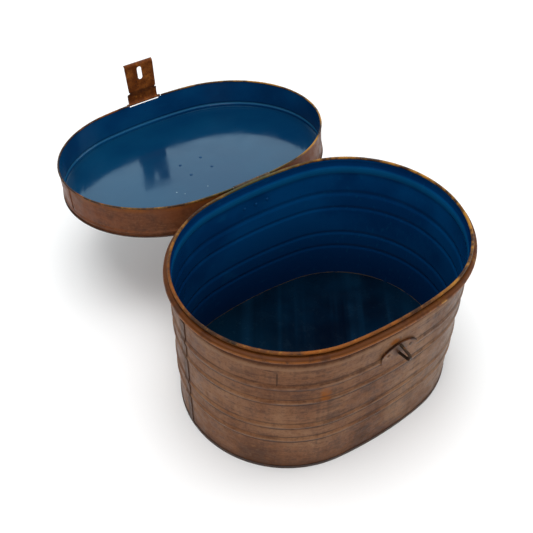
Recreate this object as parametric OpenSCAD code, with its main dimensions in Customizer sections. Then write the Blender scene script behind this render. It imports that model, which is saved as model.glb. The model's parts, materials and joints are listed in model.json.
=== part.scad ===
// Oval tinplate travel box with a hinged lid, a hasp and a carrying handle.
// Millimetres. Origin under the middle of the base, X along the oval, front at -Y, Z up.
// Lid parts are drawn on the closed box and then turned open about the rear hinge.

/* [Body] */
// Length of the oval
body_len = 400; // [380:5:420]
// Width of the oval
body_wid = 302; // [300:1:304]
// Radius of the rounded ends
end_r = 147.5; // [146:0.5:148.5]
// Thickness of the tinplate
sheet_t = 0.6; // [0.5:0.05:0.7]
// Height of the swaged ridges on the wall
ridge_h = 1.8; // [1:0.1:1.8]

/* [Lid] */
// How far the lid is turned open
lid_open = 186.3; // [0:0.1:186.3]
// Radius of the hinge barrel
barrel_r = 2.6; // [2.2:0.1:2.7]

/* [Closure] */
// Width of the slot in the hasp
slot_w = 8; // [8:0.5:12]
// Reach of the staple in front of its plate
staple_reach = 19; // [16:1:20]

/* [Handle] */
// Half the width of the carrying handle
bail_x = 42; // [38:1:46]
// Height of the carrying handle
bail_h = 36; // [34:1:44]

/* [Hidden] */
$fn = 144;
half_l = body_len / 2;
half_w = body_wid / 2;
end_c = half_l - end_r;
side_r = (end_c * end_c + half_w * half_w - end_r * end_r) / (2 * (half_w - end_r));
side_k = side_r - half_w;
join_a = atan2(side_k, end_c);
join_x = 1.6 * end_c;
join_y = 0.6 * side_k;
split_x = end_c + 1.5;
split_y = 1.5 * side_k / end_c;
seam_a = asin(split_y / end_r);
lid_off = 5.2;
lid_rim_z = 230;
hinge_y = half_w + 10.2;
hinge_z = 226.3;
pin_r = 1.2;
hasp_y = -(half_w + 6.6);
hasp_z = 230.6;
staple_z = 180.5;
strap_x = 18.5;
strap_y = 17;
panel_z = 281;
bail_z = 283.6;
bail_r = 2.2;
hang_a = 186.3 - 180;

// --- Oval sweeps: children() is a profile of [outward offset, height] ---
// Four arcs: two round ends and two long sides, parted where their tangents meet.
module zone(pts) {
    translate([0, 0, -10]) linear_extrude(400) polygon(pts);
}
module end_zone(pts) {
    intersection() {
        translate([end_c, 0, 0]) rotate_extrude() translate([end_r, 0]) children();
        zone(pts);
    }
}
module side_zone(pts) {
    intersection() {
        translate([0, -side_k, 0]) rotate_extrude($fn = 540) translate([side_r, 0]) children();
        zone(pts);
    }
}
module sweep_all() {
    for (m = [0, 1]) mirror([m, 0, 0])
        end_zone([[end_c, 0], [join_x, join_y], [300, join_y], [300, -join_y], [join_x, -join_y]]) children();
    for (m = [0, 1]) mirror([0, m, 0])
        side_zone([[-end_c, 0], [end_c, 0], [join_x, join_y], [-join_x, join_y]]) children();
}
module sweep_front() {
    for (m = [0, 1]) mirror([m, 0, 0])
        end_zone([[end_c, 0], [end_c, split_y], [300, split_y], [300, -join_y], [join_x, -join_y]]) children();
    mirror([0, 1, 0])
        side_zone([[-end_c, 0], [end_c, 0], [join_x, join_y], [-join_x, join_y]]) children();
}
module sweep_rear() {
    for (m = [0, 1]) mirror([m, 0, 0])
        end_zone([[split_x, split_y], [300, split_y], [300, join_y], [join_x, join_y]]) children();
    side_zone([[-end_c, 0], [end_c, 0], [join_x, join_y], [-join_x, join_y]]) children();
}
// Open at the middle of the front side over a width of 2 * gap.
module sweep_gap(gap) {
    for (m = [0, 1]) mirror([m, 0, 0]) {
        end_zone([[end_c, 0], [join_x, join_y], [300, join_y], [300, -join_y], [join_x, -join_y]]) children();
        mirror([0, 1, 0]) side_zone([[gap, 0], [end_c, 0], [join_x, join_y], [gap, join_y]]) children();
    }
    side_zone([[-end_c, 0], [end_c, 0], [join_x, join_y], [-join_x, join_y]]) children();
}
// A short arc of a round end between two angles.
module arc_end(side, a0, a1) {
    translate([side * end_c, 0, 0])
        rotate([0, 0, a0])
            rotate_extrude(angle = a1 - a0)
                translate([end_r, 0]) children();
}
module oval_plate(off, z0, t) {
    ex = end_c + (end_r + off) * 1.1 * cos(join_a);
    ey = (end_r + off) * 1.1 * sin(join_a);
    translate([0, 0, z0])
        linear_extrude(t)
            union() {
                for (s = [-1, 1]) translate([s * end_c, 0]) circle(end_r + off);
                intersection() {
                    translate([0, side_k]) circle(side_r + off, $fn = 720);
                    translate([0, -side_k]) circle(side_r + off, $fn = 720);
                    polygon([[end_c, 0], [ex, ey], [-ex, ey], [-end_c, 0], [-ex, -ey], [ex, -ey]]);
                }
            }
}
module along_x(x0, x1) {
    translate([x0, 0, 0])
        rotate([90, 0, 90])
            linear_extrude(x1 - x0) children();
}
module opened() {
    translate([0, hinge_y, hinge_z])
        rotate([-lid_open, 0, 0])
            translate([0, -hinge_y, -hinge_z]) children();
}

// --- Profiles ---
function ridge(z, w, h) = [[0, z - w], [0.3 * h, z - 0.66 * w], [0.82 * h, z - 0.3 * w],
    [h, z], [0.82 * h, z + 0.3 * w], [0.3 * h, z + 0.66 * w], [0, z + w]];
function shift(pts, d) = [for (p = pts) [p[0] + d, p[1]]];
function flip(pts) = [for (i = [len(pts) - 1 : -1 : 0]) pts[i]];
function arc(cx, cz, r, a0, a1, n) = [for (i = [0 : n]) let (a = a0 + (a1 - a0) * i / n)
    [cx + r * cos(a), cz + r * sin(a)]];
function ridges(h) = concat(ridge(64.5, 5, h), ridge(92.5, 5, h), ridge(141.5, 5, h), ridge(170, 6.5, h));
function wall_low(h) = concat([[0, 1]], ridges(h),
    [[0, 203.5], [-0.4, 206.5], [-1.4, 209.3], [-1.8, 213], [-1.5, 217]]);
function wall_outer() = concat(wall_low(ridge_h), [[-0.6, 219.3], [0.8, 220.3]],
    arc(3.1, 224.5, 4.2, -90, 90, 10), [[0.5, 228.7]]);
function wall_inner() = concat(shift(wall_low(0.6 * ridge_h), -sheet_t),
    [[-0.6 - sheet_t, 219.7], [0.5, 220.3 + sheet_t]],
    arc(3.1, 224.5, 4.2 - sheet_t, -90, 90, 10), [[0.5, 228.7 - sheet_t]]);
function collar_line() = [[-0.2, 205], [-0.4, 206.6], [-1.4, 209.4], [-1.8, 213], [-1.55, 217],
    [-0.7, 220.4], [0.2, 224.2], [0.7, 227.4], [0.8, 231.05]];
function seam_low() = concat([[0, 5.2]], ridges(ridge_h), [[0, 203]]);
function skirt_low() = concat([[0, lid_rim_z + 1.35]], ridge(270, 3.4, 1.2), [[0, 276]]);
function panel_top() = [[lid_off + 0.3, 276.65], [lid_off - 0.8, 277.2], [0, 278.6], [-10, 280.1],
    [-22, 280.85], [-31, panel_z]];
module wall_profile() polygon(concat(wall_outer(), flip(wall_inner())));
module collar_profile() polygon(concat(shift(collar_line(), -sheet_t - 0.05),
    flip(shift(collar_line(), -2 * sheet_t))));
module seam_profile() polygon(concat(shift(seam_low(), 0.95), flip(shift(seam_low(), 0.03))));
module skirt_profile() polygon(concat(shift(skirt_low(), lid_off + 0.3),
    flip(shift(skirt_low(), lid_off + 0.3 - sheet_t))));

// --- Fasteners ---
// Rivet along +Z: the domed head stands on z = 0 and the shank runs down to the clinched tail.
module rivet(r, head_r, head_h, grip) {
    rotate_extrude($fn = 48)
        polygon([[0, head_h], [head_r * 0.55, head_h * 0.82], [head_r * 0.88, head_h * 0.45],
            [head_r, 0], [r, 0], [r, -grip], [head_r * 0.85, -grip], [head_r * 0.75, -grip - 0.5],
            [head_r * 0.4, -grip - 0.9], [0, -grip - 0.9]]);
}
module rear_holes(r) {
    for (x = [-19, 0, 19]) translate([x, half_w + 6, 193]) rotate([90, 0, 0]) cylinder(h = 12, r = r);
}
module front_holes(r) {
    for (x = [-17, 17]) translate([x, -half_w + 6, staple_z - 2]) rotate([90, 0, 0]) cylinder(h = 12, r = r);
}
module leg_holes() {
    for (s = [-1, 1]) translate([-1.6, -half_w - 6, staple_z + s * 7.3 - 1.3]) cube([3.2, 12, 2.6]);
}

// --- Body ---
module wall_front() {
    color("#7a5540")
        difference() {
            sweep_front() wall_profile();
            front_holes(1.45);
            leg_holes();
        }
}
module wall_rear() {
    color("#7a5540")
        difference() {
            sweep_rear() wall_profile();
            rear_holes(1.45);
        }
}
module seam_left() {
    color("#8a6a52") arc_end(-1, 180 - seam_a - 1.8, 180 - seam_a + 1.8) seam_profile();
}
module seam_right() {
    color("#8a6a52") arc_end(1, seam_a - 1.8, seam_a + 1.8) seam_profile();
}
module base_panel() {
    color("#10304a") {
        oval_plate(-sheet_t - 0.05, 5, sheet_t);
        sweep_all() translate([-2 * sheet_t - 0.05, 1]) square([sheet_t, 4.3]);
    }
}
module base_seam() {
    color("#5a3c2c")
        sweep_all()
            polygon([[-2, 0], [0.85, 0], [0.85, 5], [0.05, 5], [0.05, 0.9], [-1.35, 0.9],
                [-1.35, 4.2], [-2, 4.2]]);
}
module collar() {
    color("#1d4a78") sweep_all() collar_profile();
}
module rim_wire() {
    color("#a8702a") sweep_all() translate([0, 233.05]) rotate(15) circle(1.9, $fn = 12);
}

// --- Lid ---
module lid_skirt() {
    color("#7a4a30")
        opened()
            difference() {
                sweep_all() skirt_profile();
                translate([-26.8, hasp_y - 4, lid_rim_z]) cube([53.6, 12, 3.6]);
                for (x = [-16, 16]) translate([x, half_w, 252]) rotate([-90, 0, 0]) cylinder(h = 12, r = 1.45);
            }
}
module lid_panel() {
    color("#21557f")
        opened()
            difference() {
                union() {
                    oval_plate(-30, panel_z - sheet_t - 0.04, sheet_t + 0.08);
                    sweep_all() polygon(concat(panel_top(),
                        flip([for (p = panel_top()) [p[0], p[1] - sheet_t]])));
                }
                for (x = [-strap_x, strap_x]) for (y = [-strap_y, strap_y])
                    translate([x, y, panel_z - 4]) cylinder(h = 8, r = 1.45);
            }
}
module lid_seam_roll() {
    color("#4a3020") opened() sweep_all() translate([lid_off + 1.35, 276.3]) circle(1, $fn = 12);
}
module lid_wire() {
    color("#5a4630")
        opened()
            sweep_gap(31) translate([lid_off, lid_rim_z]) circle(1.3, $fn = 12);
}
module lid_lap_seam() {
    color("#6a4430")
        opened() arc_end(-1, 180 - 2.2, 180 + 1.2) translate([lid_off + 0.33, 232.6]) square([0.7, 33]);
}

// --- Rear hinge ---
module hinge_leaf_body() {
    color("#3a2c22")
        difference() {
            union() {
                along_x(-28, 28)
                    translate([half_w, 0])
                        polygon([[8.7, 226.3], [8.7, 219], [1.3, 208.5], [1.3, 185], [0.2, 185],
                            [0.2, 208.2], [7.7, 218.8], [7.7, 226.3]]);
                for (s = [-1, 1])
                    translate([s * 18.7 - 9.3, hinge_y, hinge_z]) rotate([0, 90, 0]) cylinder(h = 18.6, r = barrel_r);
            }
            translate([-40, hinge_y, hinge_z]) rotate([0, 90, 0]) cylinder(h = 80, r = pin_r + 0.02);
            translate([-9.4, half_w + 4, 223]) cube([18.8, 10, 10]);
            rear_holes(1.45);
        }
}
module hinge_leaf_lid() {
    color("#3a2c22")
        opened()
            difference() {
                union() {
                    along_x(-9, 9) translate([half_w, 0])
                        polygon([[6.75, 228.6], [6.75, 237], [7.7, 236], [7.7, 232.6], [10.66, 232.6],
                            [11.1, 228.6], [11.4, 227.2], [9, 226.5]]);
                    along_x(-24, 24) translate([half_w, 0])
                        polygon([[6.75, 232.4], [5.65, 236], [5.65, 262], [6.65, 262], [6.65, 236.4],
                            [7.7, 232.6]]);
                    translate([-9, hinge_y, hinge_z]) rotate([0, 90, 0]) cylinder(h = 18, r = barrel_r);
                }
                translate([-40, hinge_y, hinge_z]) rotate([0, 90, 0]) cylinder(h = 80, r = pin_r + 0.05);
                for (x = [-16, 16]) translate([x, half_w, 252]) rotate([-90, 0, 0]) cylinder(h = 12, r = 1.45);
            }
}
module hinge_pin() {
    color("#77706a")
        translate([-29, hinge_y, hinge_z]) rotate([0, 90, 0]) {
            cylinder(h = 58, r = pin_r);
            translate([0, 0, -0.8]) cylinder(h = 0.8, r = 1.9);
            translate([0, 0, 58]) cylinder(h = 0.8, r = 1.9);
        }
}
module hinge_rivets_body() {
    color("#5a4a3a")
        for (x = [-19, 0, 19]) translate([x, half_w + 1.32, 193]) rotate([-90, 0, 0]) rivet(1.4, 2.6, 1.1, 2.6);
}
module hinge_rivets_lid() {
    color("#5a4a3a")
        opened()
            for (x = [-16, 16]) translate([x, half_w + 6.67, 252]) rotate([-90, 0, 0]) rivet(1.4, 2.6, 1.1, 2.1);
}

// --- Hasp on the lid's front edge ---
module hasp() {
    color("#6e3a1c")
        opened()
            difference() {
                union() {
                    intersection() {
                        along_x(-26, 26)
                            translate([0, 0])
                                mirror([1, 0])
                                    translate([half_w, 0])
                                        polygon([[7.2, 232], [8.4, 231.4], [9.2, 226.5], [9.3, 221.5], [8.5, 216],
                                            [7.0, 212.4], [5.2, 209.6], [5, 208], [5, 167], [5.7, 165.4],
                                            [7.6, 163.4], [7.1, 162.5], [5, 164.4], [4, 166.6], [4, 208.6],
                                            [6.1, 212.9], [7.5, 216.4], [8.3, 221.6], [8.2, 226.3], [7.2, 229]]);
                        translate([0, hasp_y + 12, 0]) rotate([90, 0, 0]) linear_extrude(24)
                            polygon([[-26, 234], [26, 234], [26, 213.2], [22.6, 212.6], [22.6, 209.6], [24, 208.8],
                                [25, 170], [24.6, 160], [-24.6, 160], [-25, 170], [-24, 208.8], [-22.6, 209.6],
                                [-22.6, 212.6], [-26, 213.2]]);
                    }
                    translate([-26, hasp_y, hasp_z]) rotate([0, 90, 0]) cylinder(h = 52, r = 2);
                }
                translate([-40, hasp_y, hasp_z]) rotate([0, 90, 0]) cylinder(h = 80, r = 1.05);
                translate([-slot_w / 2, hasp_y - 4, 174]) cube([slot_w, 12, 13.5]);
                for (z = [174, 187.5]) for (x = [-slot_w / 2 + 4, slot_w / 2 - 4])
                    translate([x, hasp_y + 8, z]) rotate([90, 0, 0]) cylinder(h = 12, r = 4);
                translate([-slot_w / 2 + 4, hasp_y - 4, 170]) cube([slot_w - 8, 12, 21.5]);
            }
}
module hasp_pin() {
    color("#8a7a68")
        opened() translate([-30, hasp_y, hasp_z]) rotate([0, 90, 0]) cylinder(h = 60, r = 1);
}
module hasp_ears() {
    color("#5a3a22")
        opened()
            for (s = [-1, 1])
                difference() {
                    union() {
                        translate([s * 28.2 - 1.6, hasp_y, hasp_z]) rotate([0, 90, 0]) cylinder(h = 3.2, r = 1.9);
                        translate([s * 28.2 - 1.6, -half_w - 6.6, hasp_z]) cube([3.2, 0.9, 8]);
                    }
                    translate([-40, hasp_y, hasp_z]) rotate([0, 90, 0]) cylinder(h = 80, r = 1.02);
                }
}

// --- Staple on the front wall ---
module plate_outline() {
    intersection() {
        translate([0, staple_z - 29]) circle(39.5);
        union() {
            translate([-27, staple_z - 14]) square([54, 18]);
            translate([-19, staple_z - 14]) square([38, 32]);
            for (s = [-1, 1]) translate([s * 19, staple_z + 4]) circle(8);
        }
    }
}
module staple_plate() {
    color("#6a4a36")
        difference() {
            union() {
                translate([0, -half_w - 1.85, 0]) rotate([90, 0, 0]) linear_extrude(1) plate_outline();
                translate([0, -half_w - 0.15, 0]) rotate([90, 0, 0]) linear_extrude(1.8)
                    difference() {
                        plate_outline();
                        intersection() {
                            translate([0, staple_z - 29]) circle(38.1);
                            union() {
                                translate([-25.6, staple_z - 40]) square([51.2, 44]);
                                translate([-19, staple_z - 40]) square([38, 56.6]);
                                for (s = [-1, 1]) translate([s * 19, staple_z + 4]) circle(6.6);
                            }
                        }
                        translate([-40, staple_z - 40]) square([80, 40]);
                    }
            }
            front_holes(1.45);
            leg_holes();
        }
}
module staple() {
    color("#3a2a20")
        along_x(-1.5, 1.5)
            mirror([1, 0])
                translate([half_w, staple_z])
                    difference() {
                        union() {
                            polygon([[2.9, -8.5], [staple_reach - 3.2, -5.9], [staple_reach - 3.2, 5.9], [2.9, 8.5]]);
                            translate([staple_reach - 3.2, 0]) circle(5.9, $fn = 48);
                            for (s = [-1, 1]) translate([-3.4, s * 7.3 - 1.2]) square([6.4, 2.4]);
                        }
                        polygon([[2, -6.1], [staple_reach - 3.4, -3.6], [staple_reach - 3.4, 3.6], [2, 6.1]]);
                        translate([staple_reach - 3.4, 0]) circle(3.6, $fn = 48);
                    }
}
module staple_rivets() {
    color("#4a3628")
        for (x = [-17, 17])
            translate([x, -half_w - 2.87, staple_z - 2]) rotate([90, 0, 0]) rivet(1.4, 2.7, 0.8, 4);
}
module staple_washer() {
    color("#8a8378")
        difference() {
            translate([-9, -half_w + 0.75, staple_z - 14]) cube([18, 1, 28]);
            leg_holes();
        }
}

// --- Carrying handle on the lid ---
module handle_straps() {
    color("#4a3626")
        opened()
            for (s = [-1, 1])
                difference() {
                    along_x(s * strap_x - 6, s * strap_x + 6)
                        difference() {
                            union() {
                                translate([-22, panel_z + 0.05]) square([44, 1]);
                                translate([-3.5, panel_z + 0.05]) square([7, bail_z - panel_z]);
                                translate([0, bail_z]) circle(3.5, $fn = 48);
                            }
                            translate([0, bail_z]) circle(bail_r + 0.3, $fn = 48);
                            translate([-bail_r - 0.3, panel_z - 3]) square([2 * bail_r + 0.6, bail_z - panel_z + 3]);
                            translate([-30, panel_z - 9.95]) square([60, 10]);
                        }
                    for (y = [-strap_y, strap_y])
                        translate([s * strap_x, y, panel_z - 4]) cylinder(h = 8, r = 1.45);
                }
}
module handle_rivets() {
    color("#3a5a70")
        opened()
            for (x = [-strap_x, strap_x]) for (y = [-strap_y, strap_y])
                translate([x, y, panel_z + 1.07]) rivet(1.4, 2.7, 1.1, 1.75);
}
module bail_half() {
    translate([12, 0, 0]) rotate([0, 90, 0]) cylinder(h = bail_x - 18, r = bail_r, $fn = 32);
    translate([bail_x - 6, 0, 6]) rotate([-90, 0, 0])
        rotate_extrude(angle = 90) translate([6, 0]) circle(bail_r, $fn = 32);
    translate([bail_x, 0, 6]) cylinder(h = bail_h - 18, r = bail_r, $fn = 32);
    translate([bail_x - 12, 0, bail_h - 12]) rotate([90, 0, 0])
        rotate_extrude(angle = 90) translate([12, 0]) circle(bail_r, $fn = 32);
    translate([-0.01, 0, bail_h]) rotate([0, 90, 0]) cylinder(h = bail_x - 12 + 0.01, r = bail_r, $fn = 32);
}
module handle_bail() {
    color("#55504a")
        opened()
            translate([0, 0, bail_z]) rotate([hang_a, 0, 0]) {
                bail_half();
                mirror([1, 0, 0]) bail_half();
            }
}

wall_front();
wall_rear();
seam_left();
seam_right();
base_panel();
base_seam();
collar();
rim_wire();
lid_skirt();
lid_panel();
lid_seam_roll();
lid_wire();
lid_lap_seam();
hinge_leaf_body();
hinge_leaf_lid();
hinge_pin();
hinge_rivets_body();
hinge_rivets_lid();
hasp();
hasp_pin();
hasp_ears();
staple_plate();
staple();
staple_rivets();
staple_washer();
handle_straps();
handle_rivets();
handle_bail();
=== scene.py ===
# An oval tinplate travel box, lid turned open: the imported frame, its painted surfaces, a plain studio and the camera.
import json
import math

import bpy
from mathutils import Matrix, Vector

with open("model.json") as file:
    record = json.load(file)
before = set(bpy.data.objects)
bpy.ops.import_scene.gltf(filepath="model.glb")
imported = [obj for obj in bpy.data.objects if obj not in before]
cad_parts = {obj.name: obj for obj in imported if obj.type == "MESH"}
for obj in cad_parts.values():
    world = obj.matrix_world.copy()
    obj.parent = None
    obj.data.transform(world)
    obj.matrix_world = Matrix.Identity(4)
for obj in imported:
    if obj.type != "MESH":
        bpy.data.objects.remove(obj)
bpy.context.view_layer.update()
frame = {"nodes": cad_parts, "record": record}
nodes = frame["nodes"]
scene = bpy.context.scene

# The hinge about which the lid is turned open, from the record.
hinge = next(j for j in frame["record"]["behaviour"]["joints"] if j["name"] == "lid_hinge")
HINGE = Vector(hinge["pos_m"])
OPEN = math.radians(hinge["range_deg"][1])

# The oval the sheet follows: long side arcs and round ends, as in the part.
SIDE_R, SIDE_K = 0.543, 0.392
END_R, END_C = 0.1475, 0.0525
HALF_LENGTH = END_R + END_C

# Swaged ridges as (height, half width), and how far each carries the middle of the sheet outwards.
WALL_RIDGES = ((0.0645, 0.005), (0.0925, 0.005), (0.1415, 0.005), (0.170, 0.0065))
SKIRT_RIDGES = ((0.270, 0.0034),)
WALL_RISE, SKIRT_RISE = 0.00144, 0.0012
# The middle of the plain sheet, as an offset from the oval.
WALL_MIDDLE, SKIRT_MIDDLE = -0.0003, 0.0052
# Planes through the sheets that riveted pieces pass: the rear wall and the closed lid's panel.
REAR_SHEET_Y, LID_SHEET_Z = 0.1515, 0.2813


# ---------- node helpers ----------
class Net:
    """A small wrapper that makes shader nodes and links them in one line."""

    def __init__(self, name):
        self.mat = bpy.data.materials.new(name)
        self.mat.use_nodes = True
        self.t = self.mat.node_tree
        self.t.nodes.clear()
        self.out = self.t.nodes.new("ShaderNodeOutputMaterial")

    def put(self, socket, value):
        if isinstance(value, bpy.types.NodeSocket):
            self.t.links.new(value, socket)
        elif value is not None:
            socket.default_value = value

    def math(self, op, a, b=None, c=None, clamp=False):
        n = self.t.nodes.new("ShaderNodeMath")
        n.operation = op
        n.use_clamp = clamp
        for i, v in enumerate((a, b, c)):
            if v is not None:
                self.put(n.inputs[i], v)
        return n.outputs[0]

    def vmath(self, op, a, b=None):
        n = self.t.nodes.new("ShaderNodeVectorMath")
        n.operation = op
        self.put(n.inputs[0], a)
        if b is not None:
            self.put(n.inputs[1], b)
        return n.outputs["Value"] if op in ("DOT_PRODUCT", "LENGTH") else n.outputs[0]

    def step(self, v, lo, hi):
        """0 below lo, 1 above hi, smooth between. lo above hi turns it round."""
        n = self.t.nodes.new("ShaderNodeMapRange")
        n.interpolation_type = "SMOOTHSTEP"
        self.put(n.inputs["Value"], v)
        flip = lo > hi
        n.inputs["From Min"].default_value = min(lo, hi)
        n.inputs["From Max"].default_value = max(lo, hi)
        n.inputs["To Min"].default_value = 1.0 if flip else 0.0
        n.inputs["To Max"].default_value = 0.0 if flip else 1.0
        return n.outputs[0]

    def band(self, v, mid, half, soft):
        """1 within half of mid, falling to 0 over soft."""
        return self.step(self.math("ABSOLUTE", self.math("SUBTRACT", v, mid)), half + soft, half)

    def mix(self, f, a, b):
        n = self.t.nodes.new("ShaderNodeMix")
        n.data_type = "RGBA"
        self.put(n.inputs["Factor"], f)
        for s, v in ((n.inputs[6], a), (n.inputs[7], b)):
            self.put(s, v if isinstance(v, bpy.types.NodeSocket) else (*v, 1.0))
        return n.outputs[2]

    def blend(self, f, a, b):
        n = self.t.nodes.new("ShaderNodeMix")
        n.data_type = "FLOAT"
        for s, v in ((n.inputs["Factor"], f), (n.inputs[2], a), (n.inputs[3], b)):
            self.put(s, v)
        return n.outputs[0]

    def noise(self, vec, scale, detail=4.0, rough=0.55, dist=0.0):
        n = self.t.nodes.new("ShaderNodeTexNoise")
        self.put(n.inputs["Vector"], vec)
        n.inputs["Scale"].default_value = scale
        n.inputs["Detail"].default_value = detail
        n.inputs["Roughness"].default_value = rough
        n.inputs["Distortion"].default_value = dist
        return n.outputs["Fac"]

    def cells(self, vec, scale):
        n = self.t.nodes.new("ShaderNodeTexVoronoi")
        self.put(n.inputs["Vector"], vec)
        n.inputs["Scale"].default_value = scale
        return n.outputs["Distance"]

    def scaled(self, vec, s):
        return self.vmath("MULTIPLY", vec, s)

    def xyz(self, vec):
        n = self.t.nodes.new("ShaderNodeSeparateXYZ")
        self.put(n.inputs[0], vec)
        return n.outputs[0], n.outputs[1], n.outputs[2]

    def join(self, x, y, z):
        n = self.t.nodes.new("ShaderNodeCombineXYZ")
        for i, v in enumerate((x, y, z)):
            self.put(n.inputs[i], v)
        return n.outputs[0]

    def bump(self, height, strength, distance, normal=None):
        n = self.t.nodes.new("ShaderNodeBump")
        self.put(n.inputs["Strength"], strength)
        n.inputs["Distance"].default_value = distance
        self.put(n.inputs["Height"], height)
        if normal is not None:
            self.put(n.inputs["Normal"], normal)
        return n.outputs[0]

    def spot(self, pos, at, radius, soft, squash=(1, 1, 1)):
        """1 inside a blob round a point, with a soft edge."""
        d = self.vmath("MULTIPLY", self.vmath("SUBTRACT", pos, at), squash)
        return self.step(self.vmath("LENGTH", d), radius + soft, radius)

    def most(self, *vals):
        out = vals[0]
        for v in vals[1:]:
            out = self.math("MAXIMUM", out, v)
        return out

    def coords(self, lid=False):
        """Position and normal on the closed box: what rides on the lid is turned back shut."""
        tc = self.t.nodes.new("ShaderNodeTexCoord")
        geo = self.t.nodes.new("ShaderNodeNewGeometry")
        local = self.t.nodes.new("ShaderNodeVectorTransform")
        local.vector_type = "NORMAL"
        local.convert_from, local.convert_to = "WORLD", "OBJECT"
        self.put(local.inputs[0], geo.outputs["True Normal"])
        pos, nor = tc.outputs["Object"], local.outputs[0]
        if not lid:
            return pos, nor
        turn = Matrix.Rotation(OPEN, 3, "X")
        m = self.t.nodes.new("ShaderNodeMapping")
        m.vector_type = "POINT"
        m.inputs["Rotation"].default_value = (OPEN, 0, 0)
        m.inputs["Location"].default_value = HINGE - turn @ HINGE
        self.put(m.inputs["Vector"], pos)
        r = self.t.nodes.new("ShaderNodeMapping")
        r.vector_type = "VECTOR"
        r.inputs["Rotation"].default_value = (OPEN, 0, 0)
        self.put(r.inputs["Vector"], nor)
        return m.outputs[0], r.outputs[0]

    def surface(self, color, rough, metal=0.0, normal=None, spec=0.5, tint=(1, 1, 1)):
        b = self.t.nodes.new("ShaderNodeBsdfPrincipled")
        self.put(b.inputs["Base Color"], color)
        self.put(b.inputs["Roughness"], rough)
        self.put(b.inputs["Metallic"], metal)
        self.put(b.inputs["Specular IOR Level"], spec)
        b.inputs["Specular Tint"].default_value = (*tint, 1.0)
        if normal is not None:
            self.put(b.inputs["Normal"], normal)
        self.t.links.new(b.outputs[0], self.out.inputs[0])
        return self.mat


# ---------- colours, linear ----------
BROWN = (0.132, 0.054, 0.024)
BROWN_DARK = (0.034, 0.015, 0.009)
BROWN_PALE = (0.225, 0.118, 0.062)
RED_BROWN = (0.135, 0.036, 0.010)
ORANGE = (0.205, 0.060, 0.006)
OCHRE = (0.420, 0.200, 0.028)
RUST = (0.060, 0.022, 0.010)
SOOT = (0.010, 0.007, 0.005)
BLUE = (0.0004, 0.0530, 0.1750)
BLUE_DEEP = (0.0002, 0.0155, 0.0720)
BLUE_PALE = (0.0025, 0.0850, 0.2050)
LID_BLUE = (0.0006, 0.0380, 0.1230)
LID_BLUE_DEEP = (0.0003, 0.0170, 0.0640)
LID_BLUE_PALE = (0.0020, 0.0560, 0.1450)
PANEL_BLUE = (0.0008, 0.0270, 0.0740)
PANEL_BLUE_PALE = (0.0016, 0.0360, 0.0900)
AMBER_DARK = (0.050, 0.013, 0.002)
TEAL_BLACK = (0.0003, 0.0030, 0.0100)


# ---------- japanned tinplate: brown outside, blue inside ----------
def oval_offset(n, x, y):
    """How far a point lies outside the nominal four-arc oval."""
    ax, ay = n.math("ABSOLUTE", x), n.math("ABSOLUTE", y)
    side = n.math("SUBTRACT", n.vmath("LENGTH", n.join(x, n.math("ADD", ay, SIDE_K), 0.0)), SIDE_R)
    end = n.math("SUBTRACT", n.vmath("LENGTH", n.join(n.math("SUBTRACT", ax, END_C), y, 0.0)), END_R)
    at_end = n.math("GREATER_THAN", n.math("SUBTRACT", ax, n.math("MULTIPLY", ay, END_C / SIDE_K)), END_C)
    return n.blend(at_end, side, end)


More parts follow.
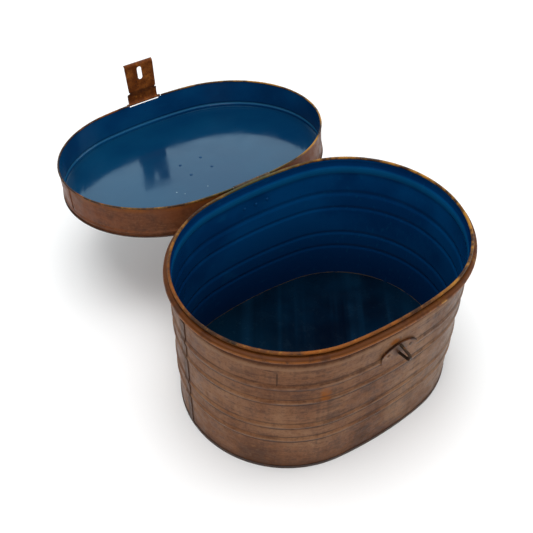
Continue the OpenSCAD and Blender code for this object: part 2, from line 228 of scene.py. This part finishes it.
def japanned(name, lid=False, seam=False, panel=False):
    n = Net(name)
    pos, nor = n.coords(lid)
    x, y, z = n.xyz(pos)
    nx, ny, nz = n.xyz(nor)
    outward = n.math("ADD", n.math("MULTIPLY", x, n.math("MULTIPLY", nx, 0.55)), n.math("MULTIPLY", y, ny))
    facing = n.step(outward, -0.004, 0.004)
    # Where a facet lies almost flat its facing says nothing, so its place in the sheet decides.
    rise = SKIRT_RISE if lid else WALL_RISE
    middle = SKIRT_MIDDLE if lid else WALL_MIDDLE
    for height, half in SKIRT_RIDGES if lid else WALL_RIDGES:
        bulge = n.step(n.math("ABSOLUTE", n.math("SUBTRACT", z, height)), half, 0.0)
        middle = n.math("ADD", n.math("MULTIPLY", bulge, rise), middle)
    placed = n.math("GREATER_THAN", oval_offset(n, x, y), middle)
    flat = n.math("GREATER_THAN", n.math("ABSOLUTE", nz), 0.75)
    outside = n.blend(flat, facing, placed)
    if panel:
        outside = n.step(nz, -0.05, 0.05)
    if seam:
        outside = 1.0

    # Brown outside: cloudy japanning, rubbed pale patches, tall streaks and fine scratches.
    cloud = n.noise(pos, 9.0, 6.0, 0.62, 0.4)
    fine = n.noise(pos, 85.0, 5.0, 0.6)
    streak = n.noise(n.scaled(pos, (60.0, 60.0, 7.0)), 1.0, 5.0, 0.6, 0.3)
    level = n.noise(n.scaled(pos, (9.0, 9.0, 120.0)), 1.0, 4.0, 0.6)
    grain = n.math("ADD", n.math("MULTIPLY", streak, 0.5), n.math("MULTIPLY", level, 0.5))
    brown = n.mix(n.step(cloud, 0.40, 0.66), BROWN, BROWN_PALE)
    brown = n.mix(n.math("MULTIPLY", n.step(cloud, 0.47, 0.30), 0.85), brown, BROWN_DARK)
    brown = n.mix(n.math("MULTIPLY", n.step(grain, 0.52, 0.36), 0.70), brown, BROWN_DARK)
    brown = n.mix(n.math("MULTIPLY", n.step(fine, 0.56, 0.72), 0.30), brown, BROWN_PALE)
    brown = n.mix(n.math("MULTIPLY", n.step(fine, 0.46, 0.34), 0.45), brown, BROWN_DARK)
    weave = n.math("ADD", n.noise(n.scaled(pos, (70.0, 70.0, 620.0)), 1.0, 5.0, 0.7),
                   n.math("MULTIPLY", n.noise(pos, 260.0, 4.0, 0.7), 0.9))
    brown = n.mix(n.math("MULTIPLY", n.step(weave, 0.96, 0.78), 0.42), brown, BROWN_DARK)
    brown = n.mix(n.math("MULTIPLY", n.step(weave, 0.96, 1.16), 0.30), brown, BROWN_PALE)
    specks = n.step(n.cells(pos, 240.0), 0.16, 0.06)
    pick = n.step(n.noise(pos, 30.0, 2.0), 0.55, 0.62)
    brown = n.mix(n.math("MULTIPLY", n.math("MULTIPLY", specks, pick), 0.75), brown, SOOT)
    scratch_v = n.step(n.noise(n.scaled(pos, (420.0, 420.0, 5.0)), 1.0, 2.0, 0.5), 0.70, 0.76)
    scratch_h = n.step(n.noise(n.scaled(pos, (6.0, 6.0, 620.0)), 1.0, 2.0, 0.5), 0.71, 0.77)
    marks = n.math("MULTIPLY", n.most(scratch_v, scratch_h), n.step(n.noise(pos, 14.0, 3.0), 0.48, 0.60))
    brown = n.mix(n.math("MULTIPLY", marks, 0.55), brown, BROWN_PALE)

    # Orange where hands and the lid rub it. On the body the bead's upper half is orange all round: rubbed wear with a
    # painted highlight on its upward face.
    patch = n.noise(pos, 22.0, 5.0, 0.6)
    if lid:
        low = n.step(z, 0.240, 0.2315)
        rub_and_highlight = n.math("MULTIPLY", low, n.step(patch, 0.40, 0.58))
        brown = n.mix(n.math("MULTIPLY", n.step(cloud, 0.26, 0.56), 0.85), brown, RED_BROWN)
    else:
        along = n.noise(n.scaled(pos, (30.0, 30.0, 420.0)), 1.0, 4.0, 0.65)
        # The bead's upper half in orange: rubbed wear and a painted highlight on its upward face.
        high = n.step(z, 0.2160, 0.2195)
        rub_and_highlight = n.math("MULTIPLY", high, n.blend(n.step(along, 0.34, 0.54), 0.55, 1.0))
        flake = n.math("MULTIPLY", n.step(z, 0.219, 0.223), n.step(n.noise(pos, 60.0, 4.0, 0.7), 0.58, 0.64))
        chips = n.math("MULTIPLY", flake, n.step(x, -0.02, 0.10))
        stain = n.spot(pos, (-0.0985, -0.1403, 0.152), 0.003, 0.007, (1, 1, 0.45))
        brown = n.mix(n.math("MULTIPLY", stain, n.step(fine, 0.30, 0.62)), brown, ORANGE)
        smear = n.spot(pos, (-0.0075, -0.1525, 0.1955), 0.0035, 0.0025, (0.6, 1, 1))
        brown = n.mix(n.math("MULTIPLY", smear, 0.85), brown, ORANGE)
        for at, size, stretch in (
            ((-0.155, -0.106, 0.1993), 0.0062, (0.85, 0.85, 8.0)),
            ((-0.149, -0.1116, 0.184), 0.0100, (9.0, 9.0, 0.8)),
        ):
            brown = n.mix(n.math("MULTIPLY", n.spot(pos, at, size, 0.0015, stretch), 0.75), brown, SOOT)
        brown = n.mix(n.math("MULTIPLY", n.step(x, 0.02, 0.19), 0.45), brown, (0.150, 0.112, 0.082))
        brown = n.mix(n.math("MULTIPLY", n.step(x, 0.05, -0.16), 0.15), brown, ORANGE)
    brown = n.mix(n.math("MULTIPLY", rub_and_highlight, 0.85), brown, ORANGE)
    black = n.math("MULTIPLY", n.step(n.noise(pos, 46.0, 6.0, 0.7), 0.52, 0.64), 0.75 if not lid else 0.35)
    brown = n.mix(black if lid else n.math("MULTIPLY", black, n.step(z, 0.203, 0.216)), brown, BROWN_DARK)
    if not lid:
        brown = n.mix(n.math("MULTIPLY", chips, 0.9), brown, OCHRE)
        foot = n.math("MULTIPLY", n.step(z, 0.022, 0.003), n.step(patch, 0.36, 0.62))
        brown = n.mix(n.math("MULTIPLY", foot, 0.8), brown, RUST)
        # Painted highlight along each ridge's crest, and painted shade in thin lines below and above it.
        for h, _ in WALL_RIDGES:
            crest_highlight = n.math("MULTIPLY", n.band(z, h, 0.0010, 0.0014), n.step(n.noise(pos, 40.0, 3.0), 0.42, 0.60))
            brown = n.mix(n.math("MULTIPLY", crest_highlight, 0.55), brown, BROWN_PALE)
            below = n.band(z, h - 0.0050, 0.0007, 0.0022)
            above = n.math("MULTIPLY", n.band(z, h + 0.0056, 0.0004, 0.0016), 0.7)
            patchy = n.blend(n.step(patch, 0.35, 0.6), 0.35, 0.85)
            brown = n.mix(n.math("MULTIPLY", n.most(below, above), patchy), brown, BROWN_DARK)
        # Painted shade in the neck under the bead and in the crease at the bead's top, and a painted highlight along
        # the shoulder ledge below the neck.
        brown = n.mix(n.math("MULTIPLY", n.band(z, 0.2130, 0.0034, 0.0032), 0.88), brown, AMBER_DARK)
        brown = n.mix(n.math("MULTIPLY", n.band(z, 0.2278, 0.0006, 0.0018), 0.80), brown, AMBER_DARK)
        brown = n.mix(n.math("MULTIPLY", n.band(z, 0.2035, 0.0010, 0.0028), 0.60), brown, BROWN_PALE)
        side = n.step(x, -0.192, -0.199)
        by_seam = n.math("MULTIPLY", side, n.step(n.math("ABSOLUTE", n.math("SUBTRACT", y, 0.0112)), 0.010, 0.0045))
        brown = n.mix(n.math("MULTIPLY", by_seam, 0.6), brown, BROWN_DARK)

    # Blue inside: glossy enamel with soft cloudy patches, pinholes and brush marks, and painted shade making it deeper
    # low down in the box.
    soft = n.noise(pos, 6.0, 4.0, 0.5)
    if panel:
        plain, deep, pale = PANEL_BLUE, LID_BLUE_DEEP, PANEL_BLUE_PALE
    elif lid:
        plain, deep, pale = LID_BLUE, LID_BLUE_DEEP, LID_BLUE_PALE
    else:
        plain, deep, pale = BLUE, BLUE_DEEP, BLUE_PALE
    blue = n.mix(n.step(soft, 0.40, 0.64), plain, pale if lid else plain)
    blue = n.mix(n.math("MULTIPLY", n.step(soft, 0.50, 0.34), 0.3 if panel else 0.6), blue, deep)
    if not lid:
        # Painted shade: darker low down in the box.
        blue = n.mix(n.math("MULTIPLY", n.step(z, 0.160, 0.010), 0.8), blue, BLUE_DEEP)
        # A painted highlight on the neck's inner crest, and painted shade in the groove above it.
        blue = n.mix(n.math("MULTIPLY", n.band(z, 0.2130, 0.0040, 0.0030), 0.6), blue, BLUE_PALE)
        blue = n.mix(n.math("MULTIPLY", n.band(z, 0.2245, 0.0030, 0.0016), 0.7), blue, BLUE_DEEP)
        joint = n.math("MULTIPLY", n.step(z, 0.0076, 0.0066), n.step(patch, 0.36, 0.50))
        blue = n.mix(n.math("MULTIPLY", joint, 0.8), blue, (0.16, 0.105, 0.050))
        spots = n.math("MULTIPLY", n.step(z, 0.0085, 0.0060), n.step(n.noise(pos, 75.0, 2.0), 0.62, 0.68))
        blue = n.mix(spots, blue, ORANGE)
    brushed = n.noise(n.scaled(pos, (30.0, 260.0, 90.0)), 1.0, 3.0, 0.5)
    blue = n.mix(n.math("MULTIPLY", n.step(brushed, 0.58, 0.74), 0.22), blue, pale)
    # A painted highlight along the inside of the ridge by the panel.
    if lid and not panel:
        blue = n.mix(n.math("MULTIPLY", n.band(z, 0.2705, 0.0008, 0.0020), 0.6), blue, (0.020, 0.130, 0.250))
    holes = n.math("MULTIPLY", n.step(n.cells(pos, 120.0), 0.10, 0.03), n.step(n.noise(pos, 17.0, 2.0), 0.56, 0.62))
    blue = n.mix(n.math("MULTIPLY", holes, 0.8), blue, SOOT)
    if lid:
        flecks = (((-0.060, 0.045, 0.28), 0.0007), ((-0.052, 0.056, 0.28), 0.0004), ((-0.015, 0.060, 0.28), 0.0006))
        for at, r in flecks:
            blue = n.mix(n.spot(pos, at, r, 0.0006, (1, 1, 0.2)), blue, (0.20, 0.27, 0.30))

    color = n.mix(outside, blue, brown)
    rough_out = n.blend(n.step(fine, 0.35, 0.70), 0.36, 0.60)
    glossy, dull = (0.10, 0.17) if panel else (0.16, 0.27)
    rough_in = n.blend(n.step(n.noise(pos, 35.0, 4.0), 0.35, 0.70), glossy, dull)
    rough = n.blend(outside, rough_in, rough_out)
    wave = n.noise(pos, 7.0, 3.0, 0.5)
    dent = n.noise(n.scaled(pos, (14.0, 14.0, 22.0)), 1.0, 2.0, 0.4)
    b = n.bump(wave, 0.3, 0.0018 if panel else 0.0035)
    b = n.bump(dent, 0.3, 0.0010 if panel else 0.0016, b)
    if not panel:
        b = n.bump(grain, 0.3, 0.0008, b)
    b = n.bump(weave, n.math("MULTIPLY", outside, 0.25), 0.0003, b)
    b = n.bump(fine, 0.12, 0.0003, b)
    sheen = 0.34 if panel else 0.16 if lid else 0.24
    spec = n.blend(outside, sheen, 0.12)
    return n.surface(color, rough, 0.0, b, spec, (0.30, 0.72, 1.0) if panel else (0.85, 0.95, 1.0))


def worn_edge(name, lid=False):
    """A rim wire's covering: dark paint rubbed through to orange and ochre, a painted ochre highlight towards the right
    and back, and an olive tint along the back.
    """
    n = Net(name)
    pos, _ = n.coords(lid)
    x, y, _ = n.xyz(pos)
    patch = n.noise(pos, 16.0, 6.0, 0.65)
    fine = n.noise(pos, 170.0, 4.0, 0.6)
    col = n.mix(n.step(patch, 0.54 if lid else 0.42, 0.66), (0.034, 0.014, 0.006), ORANGE)
    col = n.mix(n.math("MULTIPLY", n.step(fine, 0.54, 0.68), 0.25), col, OCHRE)
    # Painted highlight: ochre towards the right and the back of the rim.
    right = n.step(x, 0.02, 0.14)
    back = n.step(y, 0.06, 0.13)
    highlight_right_back = n.math("MULTIPLY", n.most(right, n.math("MULTIPLY", back, 0.5)), n.step(patch, 0.44, 0.56))
    col = n.mix(n.math("MULTIPLY", highlight_right_back, 0.7), col, OCHRE)
    olive = n.math("MULTIPLY", n.math("MULTIPLY", back, n.step(n.math("ABSOLUTE", x), 0.11, 0.02)), 0.7)
    col = n.mix(olive, col, (0.060, 0.062, 0.022))
    dark = n.step(n.noise(pos, 30.0, 4.0), 0.58, 0.68)
    col = n.mix(n.math("MULTIPLY", dark, 0.6), col, SOOT)
    b = n.bump(n.noise(pos, 300.0, 4.0, 0.6), 0.3, 0.0003)
    return n.surface(col, n.blend(n.step(patch, 0.4, 0.7), 0.38, 0.6), 0.0, b, 0.15)


def iron(name, base, pale, rust, lid=False, metal=0.35, rough=(0.35, 0.6), spec=0.3):
    n = Net(name)
    pos, _ = n.coords(lid)
    patch = n.noise(pos, 70.0, 6.0, 0.65)
    fine = n.noise(pos, 420.0, 4.0, 0.6)
    col = n.mix(n.step(patch, 0.44, 0.66), base, pale)
    col = n.mix(n.math("MULTIPLY", n.step(n.noise(pos, 120.0, 5.0, 0.7), 0.54, 0.68), 0.85), col, rust)
    col = n.mix(n.math("MULTIPLY", n.step(fine, 0.50, 0.30), 0.6), col, SOOT)
    b = n.bump(fine, 0.35, 0.0003)
    b = n.bump(patch, 0.3, 0.0006, b)
    return n.surface(col, n.blend(n.step(patch, 0.35, 0.7), rough[0], rough[1]), metal, b, spec)


def clinched(name, axis, sheet, tail, lid=False):
    """A rivet through a sheet: dark iron head outside it, painted tail inside."""
    n = Net(name)
    pos, _ = n.coords(lid)
    head = n.math("GREATER_THAN", n.xyz(pos)[axis], sheet)
    patch = n.noise(pos, 90.0, 5.0, 0.65)
    iron_col = n.mix(n.step(patch, 0.44, 0.66), (0.050, 0.026, 0.014), (0.100, 0.055, 0.030))
    paint = n.mix(n.step(patch, 0.40, 0.66), tail, [0.7 * c for c in tail])
    b = n.bump(n.noise(pos, 420.0, 4.0, 0.6), 0.3, 0.0003)
    color = n.mix(head, paint, iron_col)
    return n.surface(color, n.blend(patch, 0.35, 0.65), n.math("MULTIPLY", head, 0.35), b, 0.12)


def staple_face(name):
    """The staple's plate: painted with the wall; along the arched top its turned lip has painted shade under the proud
    edge, dark with orange patches, and painted shade lies round the staple's root.
    """
    n = Net(name)
    pos, _ = n.coords()
    x, _, z = n.xyz(pos)
    patch = n.noise(pos, 60.0, 5.0, 0.65)
    fine = n.noise(pos, 300.0, 4.0, 0.6)
    col = n.mix(n.step(patch, 0.40, 0.64), BROWN, BROWN_PALE)
    col = n.mix(n.math("MULTIPLY", n.step(fine, 0.50, 0.32), 0.6), col, BROWN_DARK)
    reach = n.vmath("LENGTH", n.join(x, n.math("SUBTRACT", z, 0.1515), 0.0))
    lip = n.math("MULTIPLY", n.step(reach, 0.0376, 0.0381), n.step(z, 0.172, 0.176))
    # Painted shade under the proud arched lip: dark with orange patches.
    lip_shade = n.mix(n.step(patch, 0.45, 0.60), (0.030, 0.010, 0.004), (0.110, 0.034, 0.007))
    col = n.mix(lip, col, lip_shade)
    # Painted shade round the staple's root.
    shade_round_staple = n.step(n.vmath("LENGTH", n.join(x, n.math("SUBTRACT", z, 0.1805), 0.0)), 0.014, 0.005)
    col = n.mix(n.math("MULTIPLY", shade_round_staple, 0.7), col, BROWN_DARK)
    b = n.bump(fine, 0.3, 0.0003)
    return n.surface(col, n.blend(n.step(fine, 0.35, 0.7), 0.38, 0.58), 0.0, b, 0.18)


def floor_pan(name):
    n = Net(name)
    pos, _ = n.coords()
    x, y, z = n.xyz(pos)
    soft = n.noise(pos, 8.0, 4.0, 0.5)
    col = n.mix(n.step(soft, 0.38, 0.66), TEAL_BLACK, (0.0006, 0.0110, 0.0280))
    fine = n.noise(pos, 60.0, 5.0, 0.6)
    col = n.mix(n.math("MULTIPLY", n.step(fine, 0.58, 0.70), 0.15), col, (0.0012, 0.0150, 0.0320))
    # Paler towards the left and pale streaks running across: painted reflections of the far wall in the enamel.
    col = n.mix(n.math("MULTIPLY", n.step(x, 0.05, -0.10), 0.6), col, (0.0008, 0.0140, 0.0300))
    across = n.math("SUBTRACT", n.math("MULTIPLY", x, 0.82), n.math("MULTIPLY", y, 0.575))
    sheen = n.noise(n.join(across, 0.0, 0.0), 24.0, 3.0, 0.6)
    lit = n.math("MULTIPLY", n.step(sheen, 0.46, 0.66), n.step(n.noise(pos, 12.0, 2.0), 0.30, 0.60))
    col = n.mix(n.math("MULTIPLY", lit, 0.55), col, (0.0030, 0.0230, 0.0520))
    dust = n.math("MULTIPLY", n.step(n.cells(pos, 160.0), 0.09, 0.03), n.step(n.noise(pos, 20.0, 2.0), 0.56, 0.64))
    col = n.mix(n.math("MULTIPLY", dust, 0.6), col, (0.10, 0.09, 0.07))
    under = n.step(z, 0.00515, 0.00500)
    col = n.mix(under, col, RUST)
    b = n.bump(n.noise(pos, 9.0, 3.0, 0.5), 0.3, 0.003)
    b = n.bump(fine, 0.15, 0.0003, b)
    return n.surface(col, n.blend(n.step(fine, 0.35, 0.7), 0.17, 0.30), 0.0, b, 0.09)


def put(mat, *names):
    for name in names:
        data = nodes[name].data
        data.materials.clear()
        data.materials.append(mat)


# Colours of a piece of iron: base, pale and rust.
HINGE_IRON = (0.040, 0.026, 0.016), (0.090, 0.058, 0.030), (0.16, 0.06, 0.015)
STRAP_IRON = (0.040, 0.026, 0.016), (0.090, 0.055, 0.030), (0.16, 0.06, 0.015)
BAIL_IRON = (0.050, 0.040, 0.032), (0.120, 0.095, 0.070), (0.16, 0.06, 0.015)
STAPLE_IRON = (0.030, 0.018, 0.012), (0.085, 0.048, 0.026), (0.16, 0.06, 0.015)
RIVET_IRON = (0.050, 0.026, 0.014), (0.10, 0.055, 0.030), (0.18, 0.06, 0.015)
PIN_STEEL = (0.16, 0.13, 0.10), (0.30, 0.26, 0.21), (0.16, 0.06, 0.015)
BODY_FOLD = (0.030, 0.014, 0.009), (0.065, 0.032, 0.018), (0.10, 0.035, 0.012)
LID_FOLD = (0.040, 0.016, 0.009), (0.085, 0.036, 0.018), (0.14, 0.045, 0.012)
HASP_BROWN = (0.105, 0.026, 0.004), (0.195, 0.055, 0.008), (0.27, 0.085, 0.012)
EAR_BROWN = (0.070, 0.028, 0.010), (0.13, 0.050, 0.018), (0.24, 0.075, 0.016)
WASHER_BLUE = (0.006, 0.040, 0.105), (0.012, 0.060, 0.15), (0.02, 0.03, 0.05)
TAIL_BLUE = (0.010, 0.055, 0.140)

put(japanned("japan_body"), "wall_front", "wall_rear", "collar")
put(japanned("japan_seam", seam=True), "seam_left", "seam_right")
put(japanned("japan_lid", lid=True), "lid_skirt")
put(japanned("japan_lid_panel", lid=True, panel=True), "lid_panel")
put(japanned("japan_lid_lap", lid=True, seam=True), "lid_lap_seam")
put(floor_pan("enamel_floor"), "base_panel")
put(worn_edge("edge_body"), "rim_wire")
put(worn_edge("edge_lid", lid=True), "lid_wire")
put(iron("fold_dark", *BODY_FOLD, metal=0.1), "base_seam")
put(iron("lid_fold", *LID_FOLD, lid=True, metal=0.1), "lid_seam_roll")
put(iron("hinge_dark", *HINGE_IRON), "hinge_leaf_body")
put(iron("hinge_dark_lid", *HINGE_IRON, lid=True), "hinge_leaf_lid")
put(iron("pin_steel", *PIN_STEEL, metal=0.8), "hinge_pin", "hasp_pin")
put(iron("rivet_dark", *RIVET_IRON), "hinge_rivets_lid", "staple_rivets")
put(clinched("rivet_enamelled", 1, REAR_SHEET_Y, BLUE), "hinge_rivets_body")
put(iron("hasp_brown", *HASP_BROWN, lid=True, metal=0.0, rough=(0.30, 0.5), spec=0.14), "hasp")
put(iron("ear_brown", *EAR_BROWN, lid=True, metal=0.15), "hasp_ears")
put(staple_face("plate_brown"), "staple_plate")
put(iron("staple_dark", *STAPLE_IRON, metal=0.5), "staple")
put(iron("washer_blue", *WASHER_BLUE, metal=0.0, rough=(0.2, 0.35)), "staple_washer")
put(clinched("rivet_blue", 2, LID_SHEET_Z, TAIL_BLUE, lid=True), "handle_rivets")
put(iron("strap_iron", *STRAP_IRON, lid=True), "handle_straps")
put(iron("bail_iron", *BAIL_IRON, lid=True, metal=0.7, rough=(0.25, 0.5)), "handle_bail")

# ---------- stage ----------
bpy.ops.mesh.primitive_plane_add(size=14, location=(0, 0, -0.0002))
floor = bpy.context.object
floor.name = "floor"
n = Net("paper")
pos, _ = n.coords()
tone = n.noise(pos, 1.5, 2.0, 0.5)
n.surface(n.mix(tone, (0.86, 0.86, 0.86), (0.88, 0.88, 0.88)), 0.75, 0.0, spec=0.2)
floor.data.materials.append(n.mat)

world = bpy.data.worlds.new("studio")
world.use_nodes = True
world.node_tree.nodes["Background"].inputs[0].default_value = (1.0, 1.0, 1.0, 1.0)
world.node_tree.nodes["Background"].inputs[1].default_value = 0.42
scene.world = world


def softbox(name, at, target, size, power, color=(1, 1, 1)):
    light = bpy.data.lights.new(name, "AREA")
    light.shape = "RECTANGLE"
    light.size, light.size_y = size
    light.energy = power
    light.color = color
    o = bpy.data.objects.new(name, light)
    scene.collection.objects.link(o)
    o.location = at
    o.rotation_mode = "QUATERNION"
    o.rotation_quaternion = (Vector(target) - Vector(at)).to_track_quat("-Z", "Y")
    return o


# A wide window behind the lid, seen again in its enamel, and broad soft lights above and in front.
softbox("window", (0.93, 2.05, 1.15), (0, 0.3, 0.15), (2.4, 1.1), 14, (0.74, 0.93, 1.0))
softbox("overhead", (-0.2, 0.1, 2.4), (0, 0.1, 0), (1.8, 1.8), 52)
softbox("front", (-1.2, -1.9, 1.3), (0, 0, 0.1), (1.4, 1.4), 15)
softbox("right", (2.2, -0.6, 1.0), (0, 0, 0.1), (1.2, 1.6), 16)

# ---------- camera ----------
cam_data = bpy.data.cameras.new("camera")
cam = bpy.data.objects.new("camera", cam_data)
scene.collection.objects.link(cam)
# Fitted to the outline: angles in radians, lengths in half lengths of the box, focal length in picture widths.
FOCAL = 795.7031 / 533
AZIMUTH, ELEVATION, ROLL, DISTANCE = 0.6128, 0.7778, 0.0088, 5.4479
SHIFT_RIGHT, SHIFT_UP = -0.3503, 0.3285
cam_data.sensor_width = 36.0
cam_data.lens = FOCAL * cam_data.sensor_width
cam_data.clip_start, cam_data.clip_end = 0.01, 50
az, el, roll, dist = AZIMUTH, ELEVATION, ROLL, DISTANCE * HALF_LENGTH
back = Vector((-math.sin(az) * math.cos(el), -math.cos(az) * math.cos(el), math.sin(el)))
right = (-back).cross(Vector((0, 0, 1))).normalized()
up = right.cross(-back)
r2 = right * math.cos(roll) + up * math.sin(roll)
u2 = up * math.cos(roll) - right * math.sin(roll)
target = Vector((0, 0, 0.1)) + r2 * (SHIFT_RIGHT * HALF_LENGTH) + u2 * (SHIFT_UP * HALF_LENGTH)
turn = Matrix((r2, u2, back)).transposed().to_4x4()
cam.matrix_world = Matrix.Translation(target + back * dist) @ turn
scene.camera = cam

scene.view_settings.view_transform = "Standard"
scene.view_settings.look = "None"
scene.view_settings.exposure = 0.0
